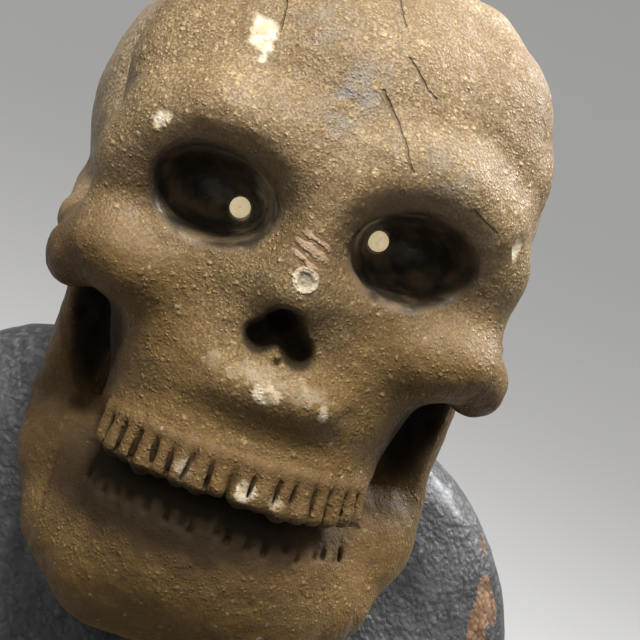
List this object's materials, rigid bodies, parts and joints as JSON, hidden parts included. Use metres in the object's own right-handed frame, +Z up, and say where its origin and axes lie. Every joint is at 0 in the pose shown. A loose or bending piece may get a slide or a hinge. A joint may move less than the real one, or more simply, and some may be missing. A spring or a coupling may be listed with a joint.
{
  "type": "papier-mache skeleton lady figure",
  "caption": "Free-standing papier-mache catrina: hollow bare skull that turns on a neck dowel, dark lacquered bell dress with puffed shoulders, and two swinging arms on a turned base.",
  "frame": {"origin": "middle of the underside of the felt under the base, on the surface that the figure stands on", "axes": "+Z up along the neck dowel, -Y the way the face looks, +X to the figure's left"},
  "size_m": [0.2, 0.2, 0.6006],
  "materials": {
    "bone_paint": "sandy matt ochre paint over moulded paper",
    "dress_lacquer": "crumpled moulded paper under glossy graphite lacquer",
    "post_wood": "bare planed pine",
    "base_wood": "dark stained and waxed",
    "felt": "dense felt",
    "steel": "dull wire and plain hardware",
    "leather": "plain greased leather",
    "cream_paper": "thin uncoated paper"
  },
  "bodies": {
    "figure": {"base_felt": "felt", "base_board": "base_wood", "base_washer": "steel", "post_screw": "steel", "centre_post": "post_wood", "skirt_former": "post_wood", "skirt_hoop": "steel", "skirt_shell": "dress_lacquer", "hem_flounce": "dress_lacquer", "waist_disc": "post_wood", "waist_sash": "dress_lacquer", "bodice_front": "dress_lacquer", "bodice_back": "dress_lacquer", "shoulder_yoke": "post_wood", "arm_axle": "steel", "axle_spacers": "steel", "axle_caps": "steel", "shoulder_cape": "dress_lacquer", "neck_column": "bone_paint", "neck_washer": "leather", "neck_dowel": "post_wood", "head_pin": "steel"},
    "head": {"skull_plug": "post_wood", "skull_back": "bone_paint", "skull_face": "bone_paint", "eye_patches": "cream_paper"},
    "arm_left": {"arm_bush_left": "post_wood", "arm_wire_left": "steel", "sleeve_left": "dress_lacquer", "cuff_left": "dress_lacquer", "hand_left": "bone_paint"},
    "arm_right": {"arm_bush_right": "post_wood", "arm_wire_right": "steel", "sleeve_right": "dress_lacquer", "cuff_right": "dress_lacquer", "hand_right": "bone_paint"}
  },
  "joints": [
    {"name": "head_turn", "type": "hinge", "parent": "figure", "child": "head", "pos_m": [0, 0, 0.53], "axis": [0, 0, 1], "range_deg": [-20, 20]},
    {"name": "arm_left_swing", "type": "hinge", "parent": "figure", "child": "arm_left", "pos_m": [0.053, 0, 0.427], "axis": [-1, 0, 0], "range_deg": [-10, 40]},
    {"name": "arm_right_swing", "type": "hinge", "parent": "figure", "child": "arm_right", "pos_m": [-0.053, 0, 0.427], "axis": [-1, 0, 0], "range_deg": [-10, 40]}
  ]
}
